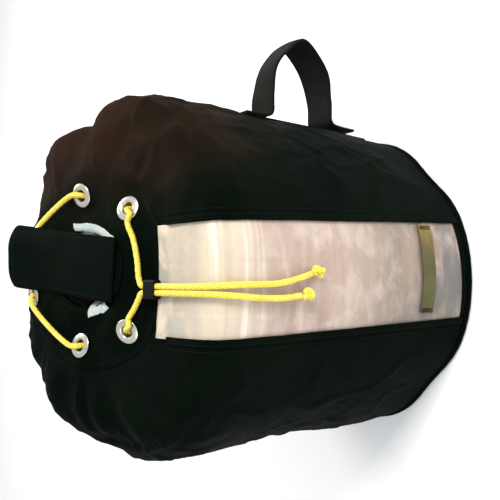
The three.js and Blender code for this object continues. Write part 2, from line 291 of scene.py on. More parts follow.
# Broad shapes and folds: angle from the front, place along the cloth, half width, half length, height, slant.
# Angles in degrees, the rest in millimetres, with the slant in degrees for each millimetre along.
FOLDS = [
    (-87, 306, 19, 26, -13.0, 0.0),
    (-122, 322, 12, 34, 3.5, 0.0),
    (-150, 344, 14, 26, 6.0, 0.0),
    (-85, 165, 30, 46, -6.5, 0.0),
    (-82, 52, 16, 20, 2.0, 0.0),
    (103, 320, 9, 36, -13.0, 0.0),
    (94, 345, 5, 30, 4.0, 0.0),
    (128, 302, 14, 30, 11.0, 0.0),
    (74, 276, 20, 28, 6.0, 0.0),
    (60, 304, 6, 15, -5.5, 0.20),
    (50, 298, 6, 12, 2.2, 0.0),
    (72, 346, 6, 26, -4.5, 0.0),
    (160, 336, 26, 34, -13.0, 0.0),
    (-166, 336, 24, 34, -9.0, 0.0),
    (-132, 344, 8, 26, -3.0, 0.0),
    (-112, 350, 6, 30, -5.0, 0.0),
    (-76, 346, 6, 30, -4.0, 0.0),
    (-58, 352, 6, 22, -3.0, 0.0),
    (176, 352, 6, 30, -4.0, 0.0),
    (88, 172, 34, 24, -3.0, 0.0),
    (-88, 128, 34, 22, -3.0, 0.0),
]
# Where the base's rim has been knocked in: angle, half width in degrees, depth in millimetres
RIM_DENTS = [(46, 14, 6.5), (-46, 15, 7.0), (168, 26, 2.5), (-130, 20, 2.0)]
CREASE_AT = 292  # millimetres along the cloth to the shoulder's crease
TAIL_LANE = -0.008  # where the cord's ends hang, across the front


def along_cloth(point):
    """How far up the cloth a gathered point is: the height, plus what the top has drawn in."""
    radius = hypot(point.x, point.y)
    level = point.z - point.y * lean(radius, point.z)
    level = point.z - point.y * lean(radius, level)
    return level + 0.156 - radius


def outward(point, place):
    """Straight out at the side, turning to straight up over the shoulder."""
    up = smooth(place, 0.262, 0.345)
    flat = Vector((point.x, point.y, 0)).normalized()
    return (flat * (1 - up) + Z * up).normalized()


def fold_height(angle, place):
    """The sum of the folds, the shoulder's crease and the finer unevenness, in millimetres."""
    total = 0.0
    for middle, at, wide, long, height, slant in FOLDS:
        off = (angle - middle - slant * (place - at) + 180) % 360 - 180
        if abs(off) < 3 * wide and abs(place - at) < 3 * long:
            ends = ((place - at) / long) ** 2
            total += height * exp(-(off / wide) ** 2 - ends)
            if wide < 10:
                beside = (abs(off) - 1.7 * wide) / wide
                total += 0.38 * abs(height) * exp(-beside**2 - ends)
    turn = radians(angle)
    round_ = Vector((cos(turn), sin(turn), 0))
    broad = noise.noise(round_ * 1.6 + Z * place * 0.009) * 1.8
    middle_size = noise.noise(round_ * 4.4 + Z * (place * 0.022 + 7)) * 1.7
    pleats = noise.noise(round_ * 7.5 + Z * (place * 0.008 + 31))
    pleats = (0.35 - abs(pleats)) * 3.6 * smooth(place, 285, 352) * (0.6 + 0.8 * sin(turn / 2) ** 2)
    crease_line = CREASE_AT + 5 * noise.noise(round_ * 1.3 + Z * 50)
    crease = 1.3 * exp(-((place - crease_line) / 5) ** 2)
    crease -= exp(-((place - crease_line + 13) / 8) ** 2)
    drift = place * 0.012
    drawn = (noise.noise(round_ * 3 + Z * drift), noise.noise(round_ * 3 + Z * (drift + 40)), 0)
    bent = round_ + Vector(drawn) * 0.22
    ridge = 1 - 2.6 * abs(noise.noise(bent * 3.4 + Z * (place * 0.016 + 70)))
    small = 1 - 2.6 * abs(noise.noise(bent * 7.5 + Z * (place * 0.034 + 120)))
    sharp = max(0, ridge) ** 2 * 2.1 + max(0, small) ** 2 * 0.9
    fine = noise.noise(round_ * 15 + Z * (place * 0.09 + 90)) * 0.35
    return total + broad + middle_size + pleats + crease + fine + sharp - 0.6


def quiet(point, place):
    """From 0, where the cloth is held flat, to 1, where it is free to fold."""
    share = smooth(place, 0.030, 0.085)
    share *= 1 - 0.72 * smooth(place, 0.360, 0.385)
    for at, _, _ in EYELETS:
        share *= smooth((point - at).length, 0.013, 0.026)
    if point.x > 0 and abs(point.y) < 0.055 and place < 0.215:
        aside = smooth(abs(point.y), 0.028, 0.055)
        above = smooth(place, 0.176, 0.210)
        share *= 0.12 + 0.88 * (aside + above - aside * above)
    if point.y < -0.05:
        beside = smooth(abs(point.x - WINDOW_MIDDLE + WINDOW_SLOPE * point.z), 0.040, 0.078)
        share *= 0.25 + 0.75 * beside
    return share


def rim_dent(point, place):
    """How far in, in metres, the cloth near the base has been pushed."""
    angle = atan2(point.x, -point.y) * 180 / pi
    depth = 0.0
    for middle, wide, deep in RIM_DENTS:
        off = (angle - middle + 180) % 360 - 180
        depth += deep * exp(-(off / wide) ** 2)
    return depth * (1 - smooth(place, 0.026, 0.105)) * MM


def knocked(bm):
    """Moves the base's own pieces in with the wall where its rim is dented."""
    for vert in bm.verts:
        radius = hypot(vert.co.x, vert.co.y)
        inward = rim_dent(vert.co, 0) * (radius / 0.142) ** 6
        if radius > 0:
            vert.co -= Vector((vert.co.x, vert.co.y, 0)) / radius * inward
    return bm


def settle(point):
    """Moves a gathered point out or in to where the settled cloth is."""
    place = along_cloth(point)
    angle = atan2(point.x - 0.004 * smooth(place, 0.3, 0.4), -point.y) * 180 / pi
    height = fold_height(angle, place * 1000) * quiet(point, place) * MM
    # The cloth stays down under the cord's hanging ends
    if point.y < -0.055:
        lane = 1 - smooth(abs(point.x - TAIL_LANE), 0.013, 0.030)
        height = min(height, 0.0004 + 0.02 * (1 - lane)) if lane > 0 else height
        height = height * (1 - lane) + min(height, 0.0002) * lane
    height = min(height, 0.0125) - rim_dent(point, place)
    # Round the mouth's edge the folds stay small
    if place > 0.372:
        height = max(-0.0028, min(height, 0.0020))
    if place > 0.340:
        height += tilt_height(point)
    return point + outward(point, place) * height


# ---- making pieces -------------------------------------------------------------------------------

def start_layers(bm):
    return bm.verts.layers.float.new("around"), bm.verts.layers.float.new("along")


def turned(profile, steps=300, start=-180, sweep_angle=360):
    """Spins a line of (radius, height) round the upright axis, and notes where each point is on it."""
    bm = bmesh.new()
    around, along = start_layers(bm)
    line, run, first = [], 0.0, radians(start)
    for i, (radius, height) in enumerate(profile):
        if i:
            run += hypot(radius - profile[i - 1][0], height - profile[i - 1][1])
        vert = bm.verts.new((radius * sin(first), -radius * cos(first), height))
        vert[along] = run
        line.append(vert)
    edges = [bm.edges.new(pair) for pair in zip(line, line[1:])]
    bmesh.ops.spin(bm, geom=line + edges, axis=Z, cent=(0, 0, 0), angle=radians(sweep_angle), steps=steps,
                   use_merge=sweep_angle == 360, use_duplicate=False)
    bmesh.ops.remove_doubles(bm, verts=bm.verts, dist=1e-6)
    bm.normal_update()
    middle = Vector((0, 0, 0.15))
    if sum(face.normal.dot(face.calc_center_median() - middle) for face in bm.faces) < 0:
        bmesh.ops.reverse_faces(bm, faces=bm.faces)
    for vert in bm.verts:
        vert[around] = atan2(vert.co.x, -vert.co.y) / (2 * pi)
    return bm


def even_profile(t_from, t_to, gap, out=0.0):
    """The outline between two places as points an even distance apart."""
    fine = [wall_at(t_from + (t_to - t_from) * i / 600, out) for i in range(601)]
    run = [0.0]
    for a, b in zip(fine, fine[1:]):
        run.append(run[-1] + hypot(b[0] - a[0], b[1] - a[1]))
    count = max(2, round(run[-1] / gap))
    points, i = [], 0
    for k in range(count + 1):
        want = run[-1] * k / count
        while i < 599 and run[i + 1] < want:
            i += 1
        share = (want - run[i]) / (run[i + 1] - run[i])
        points.append(tuple(a + (b - a) * share for a, b in zip(fine[i], fine[i + 1])))
    return points


def gathered(bm):
    for vert in bm.verts:
        vert.co = gather(vert.co)
    return bm


def settled(bm):
    for vert in bm.verts:
        vert.co = settle(vert.co)
    return bm


def cut(bm, planes):
    """Trims away what lies beyond each plane, given as a point on it and the way that is cut off."""
    for point, way in planes:
        bmesh.ops.bisect_plane(bm, geom=bm.verts[:] + bm.edges[:] + bm.faces[:], dist=1e-6, plane_co=point,
                               plane_no=way, clear_outer=True)
    return bm


def cut_out(bm, planes):
    """Opens a hole where a point is inside every plane."""
    for point, way in planes:
        bmesh.ops.bisect_plane(bm, geom=bm.verts[:] + bm.edges[:] + bm.faces[:], dist=1e-6, plane_co=point,
                               plane_no=way)
    inside = [f for f in bm.faces if all((f.calc_center_median() - p).dot(w) < 0 for p, w in planes)]
    bmesh.ops.delete(bm, geom=inside, context="FACES")
    return bm


def box_planes(low, high):
    low, high = Vector(low), Vector(high)
    return [(high, X), (high, Y), (high, Z), (low, -X), (low, -Y), (low, -Z)]


def frames_along(points, side=None):
    """A placing matrix at each point: its X follows side, one way or a list of them, and its Z the line."""
    ways = []
    for i in range(len(points)):
        ways.append((points[min(i + 1, len(points) - 1)] - points[max(i - 1, 0)]).normalized())
    across = ways[0].orthogonal().normalized()
    made = []
    for i, (point, way) in enumerate(zip(points, ways)):
        wanted = across if side is None else side[i] if isinstance(side, list) else side
        across = (wanted - way * wanted.dot(way)).normalized()
        matrix = Matrix((across, way.cross(across), way)).transposed().to_4x4()
        matrix.translation = point
        made.append(matrix)
    return made


def sweep(points, section, side=None):
    """Pulls a closed section along the points, and closes both ends."""
    bm = bmesh.new()
    around, along = start_layers(bm)
    bmesh.ops.create_circle(bm, segments=len(section), radius=1)
    frames = frames_along(points, side)
    for i, (vert, (u, v)) in enumerate(zip(list(bm.verts), section)):
        vert.co = frames[0] @ Vector((u, v, 0))
        vert[around] = i / len(section)
    first_ring = edge_ring = bm.edges[:]
    run = 0.0
    for k in range(1, len(points)):
        run += (points[k] - points[k - 1]).length
        new = bmesh.ops.extrude_edge_only(bm, edges=edge_ring)["geom"]
        verts = [g for g in new if isinstance(g, bmesh.types.BMVert)]
        bmesh.ops.transform(bm, matrix=frames[k] @ frames[k - 1].inverted(), verts=verts)
        for vert in verts:
            vert[along] = run
        edge_ring = [g for g in new if isinstance(g, bmesh.types.BMEdge) and g.is_boundary]
    for edges in (first_ring, edge_ring):
        bmesh.ops.contextual_create(bm, geom=edges)
    bmesh.ops.recalc_face_normals(bm, faces=bm.faces)
    return bm


def write_uv(bm, wide=1.0):
    """Lays the piece's own map out: round times wide across it, and metres along it upwards."""
    around, along = bm.verts.layers.float["around"], bm.verts.layers.float["along"]
    uv = bm.loops.layers.uv.new("cloth")
    for face in bm.faces:
        turns = [loop.vert[around] for loop in face.loops]
        wraps = max(turns) - min(turns) > 0.5
        for loop, turn in zip(face.loops, turns):
            turn += 1 if wraps and turn < max(turns) - 0.5 else 0
            loop[uv].uv = (turn * wide, loop.vert[along])


def piece(name, bm, material, body="bag", stands_for=(), wide=None):
    """Makes the mesh an object that rides on a body and stands for its plain solids."""
    if wide is not None:
        write_uv(bm, wide)
    mesh = bpy.data.meshes.new(name)
    bm.to_mesh(mesh)
    bm.free()
    for polygon in mesh.polygons:
        polygon.use_smooth = True
    mesh.materials.append(material)
    made = bpy.data.objects.new(name, mesh)
    bpy.context.scene.collection.objects.link(made)
    if stands_for:
        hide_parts(*stands_for)
    if body:
        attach(made, body)
    return made


def thicken(made, thickness, offset=-1.0):
    """Gives a sheet its thickness: inwards at an offset of -1, outwards at 1, half each way at 0."""
    solid = made.modifiers.new("thickness", "SOLIDIFY")
    solid.thickness = thickness
    solid.offset = offset
    solid.use_even_offset = False
    solid.use_quality_normals = True


def circle(radius, sides=16):
    return [(radius * cos(2 * pi * k / sides), radius * sin(2 * pi * k / sides)) for k in range(sides)]


def rounded_band(width, thickness, corner=0.0009):
    """A strap's section, wide along its first side."""
    w, t = width / 2, thickness / 2
    points = []
    corners = ((w - corner, t - corner, 0), (corner - w, t - corner, 90),
               (corner - w, corner - t, 180), (w - corner, corner - t, 270))
    for cx, cy, first in corners:
        for k in range(3):
            turn = radians(first + 45 * k)
            points.append((cx + corner * cos(turn), cy + corner * sin(turn)))
        if first in (0, 180):
            sign = 1 if first == 0 else -1
            points += [(sign * (w - corner) * (1 - 2 * k / 9), sign * t) for k in range(1, 9)]
    return points


# ---- finishes ------------------------------------------------------------------------------------

def feed(tree, socket, value):
    """Gives a socket a link or a value."""
    if isinstance(value, Value):
        tree.links.new(value.socket, socket)
    elif value is not None:
        if socket.type == "RGBA" and len(value) == 3:
            value = (*value, 1)
        socket.default_value = value


class Value:
    """A socket that can be used in sums, each of which adds a Math node."""

    def __init__(self, tree, socket):
        self.tree, self.socket = tree, socket

    def sum(self, kind, first, second=None):
        node = self.tree.nodes.new("ShaderNodeMath")
        node.operation = kind
        feed(self.tree, node.inputs[0], first)
        if second is not None:
            feed(self.tree, node.inputs[1], second)
        return Value(self.tree, node.outputs[0])

    def __add__(self, other):
        return self.sum("ADD", self, other)

    def __radd__(self, other):
        return self.sum("ADD", other, self)

    def __sub__(self, other):
        return self.sum("SUBTRACT", self, other)

    def __rsub__(self, other):
        return self.sum("SUBTRACT", other, self)

    def __mul__(self, other):
        return self.sum("MULTIPLY", self, other)

    def __rmul__(self, other):
        return self.sum("MULTIPLY", other, self)

    def __abs__(self):
        return self.sum("ABSOLUTE", self)

    def wave(self):
        return self.sum("SINE", self)

    def above(self, level):
        return self.sum("GREATER_THAN", self, level)

    def lower_of(self, other):
        return self.sum("MINIMUM", self, other)

    def higher_of(self, other):
        return self.sum("MAXIMUM", self, other)


class Finish:
    """A material on its way: nodes come from one method, and the shader's fixed numbers are set on it."""

    def __init__(self, name, **fixed):
        self.material = bpy.data.materials.new(name)
        self.material.use_nodes = True
        self.tree = self.material.node_tree
        self.shader = self.tree.nodes["Principled BSDF"]
        for socket, value in fixed.items():
            feed(self.tree, self.shader.inputs[socket.replace("_", " ")], value)

    def node(self, kind, settings=None, sockets=None, output=0):
        node = self.tree.nodes.new("ShaderNode" + kind)
        for setting, value in (settings or {}).items():
            setattr(node, setting, value)
        for socket, value in (sockets or {}).items():
            feed(self.tree, node.inputs[socket], value)
        return Value(self.tree, node.outputs[output])

    def place(self):
        return self.node("TexCoord", output="Object")

    def map(self):
        return self.node("TexCoord", output="UV")

    def parts(self, vector):
        made = self.node("SeparateXYZ", sockets={0: vector})
        outputs = made.socket.node.outputs
        return [Value(self.tree, outputs[i]) for i in range(3)]

    def stretched(self, vector, scale, turn=(0, 0, 0)):
        return self.node("Mapping", sockets={"Vector": vector, "Scale": scale, "Rotation": turn})

    def cloud(self, vector, scale, detail=3, rough=0.55, twist=0.0):
        sockets = {"Vector": vector, "Scale": scale, "Detail": detail, "Roughness": rough,
                   "Distortion": twist}
        return self.node("TexNoise", sockets=sockets)

    def steps(self, value, low, high):
        """0 below low and 1 above high."""
        return self.node("MapRange", {"interpolation_type": "SMOOTHSTEP"},
                         {"Value": value, "From Min": low, "From Max": high, "To Min": 0, "To Max": 1})

    def mix(self, share, first, second):
        made = self.node("Mix", {"data_type": "RGBA"})
        node = made.socket.node
        for socket, value in ((0, share), (6, first), (7, second)):
            feed(self.tree, node.inputs[socket], value)
        return Value(self.tree, node.outputs[2])

    def bump(self, height, distance, strength=1.0, onto=None):
        sockets = {"Height": height, "Distance": distance, "Strength": strength, "Normal": onto}
        return self.node("Bump", sockets=sockets)

    def done(self, **varying):
        for socket, value in varying.items():
            feed(self.tree, self.shader.inputs[socket.replace("_", " ")], value)
        return self.material


def woven(finish, uv, yarn):
    """A plain weave's height, from the piece's own map in metres."""
    across, up, _ = finish.parts(uv)
    warp = (across * (pi / yarn)).wave()
    weft = (up * (pi / yarn)).wave()
    over = (warp * weft).above(0)
    return over * abs(warp) + (1 - over) * abs(weft)


def coated_cloth(name, yarn=0.0011, gloss=0.52, warm_sheen=1.0, deep=(0.0010, 0.0024, 0.0014)):
    """Black coated pack cloth: a fine weave, with a painted warm red-brown sheen over the upper side, and
    paler where rubbed.
    """
    f = Finish(name, Sheen_Weight=0.002, Sheen_Roughness=0.4, Sheen_Tint=(0.6, 0.9, 0.7),
               Specular_IOR_Level=0.014, Specular_Tint=(0.70, 1.0, 0.80))
    place, uv = f.place(), f.map()
    x, _, z = f.parts(place)
    weave = woven(f, uv, yarn)
    patchy = f.cloud(place, 9, 4)
    fine = f.cloud(place, 160, 3)
    base = f.mix(f.steps(patchy, 0.35, 0.68), deep, (0.0023, 0.0046, 0.0028))
    # Painted warm sheen: a red-brown tint over the bag's upper side, high in x and z, broken into streaks and
    # patches.
    streaks = f.cloud(f.stretched(place, (26, 26, 5)), 1.6, 3, 0.5, 0.6)
    top = f.steps(x + z * 0.42 + patchy * 0.05 + streaks * 0.05, 0.215, 0.305)
    painted_sheen_share = (top * f.steps(patchy, 0.30, 0.62) * warm_sheen).lower_of(1.0)
    base = f.mix(painted_sheen_share, base, (0.0200, 0.0098, 0.0056))
    cool = f.steps(0 - x, 0.118, 0.156) * f.steps(patchy, 0.42, 0.6)
    base = f.mix(cool * 0.3, base, (0.003, 0.006, 0.011))
    dust = f.steps(f.cloud(f.stretched(place, (1, 1, 0.4)), 46, 5, 0.7), 0.60, 0.78)
    base = f.mix(dust * 0.02, base, (0.10, 0.105, 0.095))
    rub = f.steps(fine, 0.62, 0.75) * 0.022
    base = f.mix(rub, base, (0.05, 0.055, 0.05))
    rough = gloss + patchy * 0.12 + fine * 0.10
    surface = f.bump(weave, 0.00022, 0.8, f.bump(f.cloud(place, 70, 4), 0.0012, 0.35))
    return f.done(Base_Color=base, Roughness=rough, Normal=surface)


def ribbed_webbing(name, colors, rib=0.0019, gloss=0.62, ends=None):
    """Woven webbing: ribs across it."""
    f = Finish(name, Sheen_Weight=0.006, Sheen_Roughness=0.5, Specular_IOR_Level=0.06)
    place, uv = f.place(), f.map()
    across, up, _ = f.parts(uv)
    ribs = (up * (2 * pi / rib)).wave() * 0.5 + 0.5
    chevron = ((across * (2 * pi / 0.0042)).wave() * 0.0011 + up) * (2 * pi / rib)
    yarns = (across * (2 * pi / 0.0010)).wave() * 0.5 + 0.5
    height = (chevron.wave() * 0.5 + 0.5) * 0.7 + yarns * 0.3
    patchy = f.cloud(place, 26, 4)
    base = f.mix(f.steps(patchy, 0.35, 0.65), colors[0], colors[1])
    # Painted shade: the low parts of the weave are darkened.
    base = f.mix((1 - height) * 0.45, base, tuple(c * 0.35 for c in colors[0]))
    if ends:
        x = f.parts(place)[0]
        base = f.mix(f.steps(x, ends[0], ends[1]), base, ends[2])
    worn = f.steps(f.cloud(place, 90, 4, 0.7), 0.58, 0.75)
    base = f.mix(worn * 0.22, base, tuple(min(1, c * 2.6 + 0.02) for c in colors[1]))
    return f.done(Base_Color=base, Roughness=gloss + ribs * 0.12,
                  Normal=f.bump(height, 0.00035, 0.9, f.bump(patchy, 0.001, 0.3)))


def pale_liner(name, dull=(0.80, 0.68, 0.60), clean=(0.92, 0.86, 0.79)):
    """The pale lining: a fine plain weave with soft creases, greyer low down."""
    f = Finish(name, Sheen_Weight=0.15, Specular_IOR_Level=0.25)
    place, uv = f.place(), f.map()
    patchy = f.cloud(f.stretched(place, (1, 1, 2.6)), 16, 4)
    creases = f.cloud(f.stretched(place, (3, 3, 26)), 3.5, 4, 0.6, 0.6)
    base = f.mix(f.steps(patchy, 0.3, 0.7), dull, clean)
    base = f.mix(f.steps(creases, 0.52, 0.7) * 0.5, base, (0.62, 0.60, 0.62))
    z = f.parts(place)[2]
    low = f.steps(0 - z, -0.16, -0.05) * f.steps(patchy, 0.35, 0.6)
    base = f.mix(low * 0.55, base, (0.40, 0.47, 0.52))
    return f.done(Base_Color=base, Roughness=0.7 + patchy * 0.15,
                  Normal=f.bump(woven(f, uv, 0.0009), 0.0002, 0.5, f.bump(creases, 0.004, 0.5)))


def clear_film():
    """Clear vinyl gone cloudy in soft bands across it, creamy at its top and grey-blue low down."""
    f = Finish("clear_film", IOR=1.5, Specular_IOR_Level=0.30, Coat_Weight=0.12, Coat_Roughness=0.20)
    place = f.place()
    z = f.parts(place)[2]
    streak = f.cloud(f.stretched(place, (1.3, 1.3, 17)), 2.4, 3, 0.5, 0.2)
    thin = f.cloud(f.stretched(place, (2.2, 2.2, 62), (0, 0.10, 0)), 1.6, 2, 0.5, 0.1)
    broad = f.cloud(f.stretched(place, (10, 10, 13), (0, 0.5, 0)), 2.2, 4, 0.55, 0.25)
    spots = f.cloud(f.stretched(place, (15, 15, 24)), 2.6, 4, 0.6, 0.3)
    base = f.mix(f.steps(streak, 0.40, 0.62), (0.45, 0.325, 0.27), (0.55, 0.425, 0.355))
    upper = f.steps(z, 0.212, 0.278)
    base = f.mix(upper * 0.85, base, (0.72, 0.625, 0.48))
    lower = f.steps(0 - z, -0.190, -0.090)
    base = f.mix(lower * 0.85, base, (0.33, 0.25, 0.19))
    mottle = f.steps(spots, 0.42, 0.68)
    base = f.mix(mottle * (1 - upper) * 0.45, base, (0.66, 0.56, 0.50))
    blue = f.steps(broad, 0.40, 0.58) * f.steps(0 - z, -0.140, -0.05)
    base = f.mix(blue * 0.75, base, (0.14, 0.155, 0.16))
    # Painted highlights: near-white along the raised parts of the thin streaks, strongest in the upper part;
    # painted shade along their low parts.
    shine = f.steps(thin, 0.52, 0.72)
    base = f.mix(shine * (upper * 0.50 + 0.10), base, (0.95, 0.92, 0.84))
    base = f.mix(f.steps(0 - thin, -0.46, -0.34) * 0.30, base, (0.40, 0.34, 0.30))
    top = f.steps(z, 0.274, 0.287)
    base = f.mix(top * f.steps(spots, 0.40, 0.60) * 0.6, base, (0.27, 0.30, 0.28))
    clear = 0.70 + shine * upper * 0.15 + mottle * 0.08
    return f.done(Base_Color=base, Roughness=0.30 + streak * 0.20, Alpha=clear.lower_of(0.95),
                  Normal=f.bump(streak, 0.003, 0.4, f.bump(thin, 0.0010, 0.35)))


def braided_cord():
    """Yellow braid: crossing strands with paler flecks and a little soil."""
    f = Finish("yellow_braid", Sheen_Weight=0.12, Specular_IOR_Level=0.4)
    place, uv = f.place(), f.map()
    across, up, _ = f.parts(uv)
    one = (across * (2 * pi * 8) + up * (2 * pi / 0.0058)).wave()
    two = (across * (2 * pi * 8) - up * (2 * pi / 0.0058)).wave()
    strands = one.higher_of(two) * 0.5 + 0.5
    flecks = f.cloud(place, 240, 3)
    soil = f.steps(f.cloud(place, 34, 4, 0.65), 0.50, 0.74)
    # Painted shade and highlight: the braid's sunken strands are a darker yellow and its raised strands a
    # lighter one.
    base = f.mix(f.steps(strands, 0.55, 0.95), (0.60, 0.42, 0.025), (0.90, 0.73, 0.085))
    base = f.mix(f.steps(flecks, 0.5, 0.66) * 0.45, base, (0.97, 0.86, 0.22))
    base = f.mix(soil * 0.30, base, (0.42, 0.31, 0.06))
    fibres = f.cloud(f.stretched(uv, (40, 900, 1)), 1, 2)
    return f.done(Base_Color=base, Roughness=0.50 + flecks * 0.2,
                  Normal=f.bump(strands, 0.0003, 0.8, f.bump(fibres, 0.0001, 0.5)))


def plated_metal():
    f = Finish("plated_metal", Metallic=0.95)
    place = f.place()
    wear = f.cloud(place, 130, 4, 0.7)
    dull = f.steps(f.cloud(place, 38, 3), 0.45, 0.68)
    base = f.mix(dull, (0.66, 0.64, 0.57), (0.46, 0.42, 0.32))
    base = f.mix(f.steps(wear, 0.60, 0.72) * 0.5, base, (0.40, 0.33, 0.20))
    scratches = f.cloud(f.stretched(place, (40, 400, 120)), 2, 3)
    return f.done(Base_Color=base, Roughness=0.22 + dull * 0.14 + scratches * 0.08,
                  Normal=f.bump(wear, 0.0002, 0.35, f.bump(scratches, 0.00006, 0.4)))


def molded_black():
    f = Finish("molded_black", Specular_IOR_Level=0.05)
    place = f.place()
    grain = f.cloud(place, 420, 2)
    patchy = f.cloud(place, 60, 4)
    edge = f.steps(f.cloud(place, 150, 4), 0.58, 0.74)
    base = f.mix(patchy, (0.0022, 0.0024, 0.0024), (0.006, 0.006, 0.006))
    base = f.mix(edge * 0.08, base, (0.09, 0.09, 0.085))
    return f.done(Base_Color=base, Roughness=0.34 + patchy * 0.16, Normal=f.bump(grain, 0.0001, 0.5))


def sewing_thread(name, color):
    f = Finish(name, Sheen_Weight=0.01, Specular_IOR_Level=0.05)
    place = f.place()
    ply = f.cloud(f.stretched(place, (900, 900, 900)), 1, 2)
    aged = f.cloud(place, 40, 3)
    base = f.mix(f.steps(aged, 0.4, 0.65), color, tuple(c * 1.9 + 0.001 for c in color))
    return f.done(Base_Color=base, Roughness=0.45 + ply * 0.2, Normal=f.bump(ply, 0.0001, 0.5))


def pale_floor():
    f = Finish("pale_floor", Roughness=0.9, Specular_IOR_Level=0.1)
    pale = f.mix(f.cloud(f.place(), 1.4, 3), (0.96, 0.96, 0.96), (0.98, 0.98, 0.98))
    return f.done(Base_Color=pale)


CLOTH = coated_cloth("black_cloth")
HEM_CLOTH = coated_cloth("hem_cloth", yarn=0.0013, gloss=0.60, warm_sheen=0.6)
BINDING_CLOTH = coated_cloth("binding_cloth", yarn=0.0008, gloss=0.5, warm_sheen=0.3)
FLAP_CLOTH = coated_cloth("flap_cloth", yarn=0.0012, gloss=0.58, warm_sheen=0.0, deep=(0.0016, 0.0036, 0.0024))
LINER = pale_liner("pale_liner")
# A darker, greyer copy of the pale lining for its edges beside the flap: painted shade.
SHADED_LINING_EDGE = pale_liner("lining_edge", (0.38, 0.45, 0.43), (0.54, 0.60, 0.56))
FILM = clear_film()
CORD = braided_cord()
METAL = plated_metal()
BLACK_WEBBING = ribbed_webbing("black_webbing", [(0.0045, 0.0055, 0.0045), (0.0095, 0.0095, 0.0080)])
OLIVE_WEBBING = ribbed_webbing("olive_webbing", [(0.105, 0.098, 0.045), (0.150, 0.135, 0.062)],
                               rib=0.0016, ends=(0.020, 0.046, (0.22, 0.16, 0.055)))
DARK_THREAD = sewing_thread("dark_thread", (0.0032, 0.0040, 0.0030))
MOLDED = molded_black()


# ---- the sewn bag --------------------------------------------------------------------------------

T_HEM = t_at_radius(HEM_RADIUS)
GIRTH = 2 * pi * 0.155  # round the wall


def window_planes(margin):
    """The window's four edges, moved out by a margin, each with the way that is outside it."""
    return [(WINDOW_ACROSS * (WINDOW_MIDDLE + WINDOW_HALF + margin), WINDOW_ACROSS),
            (WINDOW_ACROSS * (WINDOW_MIDDLE - WINDOW_HALF - margin), -WINDOW_ACROSS),
            (WINDOW_UP * (WINDOW_FOOT - margin), -WINDOW_UP),
            (Vector((0, WINDOW_END + margin, 0)), Y)]


def window_side(side, off=0.0):
    """The window's left (-1) or right (1) edge, moved outwards: its x at each height."""
    return lambda z: WINDOW_MIDDLE + side * (WINDOW_HALF + off) - WINDOW_SLOPE * z


def add_wall():
    profile = [(0.1408, 0.0066)] + even_profile(0, T_HEM + 0.004, 0.0032)
    bm = gathered(turned(profile, 288))
    cut_out(bm, window_planes(0.0004))
    wall = piece("bag_wall", settled(bm), CLOTH, stands_for=["body_shell"], wide=GIRTH)
    thicken(wall, 0.0026)


def add_hem():
    """The doubled hem, with a hole under each eyelet."""
    bm = gathered(turned(even_profile(T_HEM - 0.002, 1, 0.0022, 0.0003), 288))
    for point, normal, _ in EYELETS:
        near = [f for f in bm.faces if (f.calc_center_median() - point).length < 0.0056]
        bmesh.ops.delete(bm, geom=near, context="FACES")
        for vert in bm.verts:
            off = vert.co - point
            if vert.is_boundary and off.length < 0.009:
                flat = off - normal * off.dot(normal)
                vert.co = point + normal * off.dot(normal) + flat.normalized() * 0.0063
    hem = piece("hem_cloth", settled(bm), HEM_CLOTH, stands_for=["mouth_hem"],
                wide=2 * pi * 0.064)
    thicken(hem, 0.0031)


def add_liner():
    """The pale lining: a sole, and a sleeve just inside the wall."""
    profile = [(0.134 * k / 12, 0.0112) for k in range(13)]
    profile += even_profile(0.012, t_at_radius(0.097), 0.006, -0.0056)
    liner = piece("liner_cloth", settled(gathered(turned(profile, 160))), LINER,
                  stands_for=["inner_liner"], wide=GIRTH)
    thicken(liner, 0.0011)


def film_crease(point):
    """How far the clear sheet stands proud where it has buckled across its width, in metres."""
    x, z = point.x, point.z
    across = point.dot(WINDOW_ACROSS) - WINDOW_MIDDLE
    edge = min(abs(across - WINDOW_HALF), abs(across + WINDOW_HALF))
    held = smooth(edge, 0.001, 0.012) * smooth(z, 0.018, 0.034) * smooth(-point.y, 0.094, 0.104)
    sharp = 1 - 2.4 * abs(noise.noise(Vector((x * 7, 3, z * 50))))
    sharp -= 0.5 * max(0, sharp - 0.6)
    second = 0.5 + noise.noise(Vector((x * 12 + z * 6, 9, z * 34)))
    slack = noise.noise(Vector((x * 14, 20, z * 17)))
    upper = 0.55 + 0.75 * smooth(z, 0.18, 0.262)
    height = held * (sharp * 0.85 * upper + second * 0.35 + slack - 0.35)
    # It stays down under the cord's hanging ends
    if abs(x + 0.006) < 0.020 and z > 0.180:
        height = min(height, 0.0)
    return max(-2.2, min(height, 1.3)) * MM


def add_film():
    bm = gathered(turned(even_profile(0.01, T_HEM + 0.012, 0.0016, -0.0007), 130, -34, 68))
    cut(bm, window_planes(0.0028))
    for vert in bm.verts:
        rise = film_crease(vert.co)
        vert.co = settle(vert.co) + outward(vert.co, along_cloth(vert.co)) * rise
    film = piece("window_film", bm, FILM, stands_for=["window_panel"], wide=GIRTH)
    thicken(film, 0.0009)


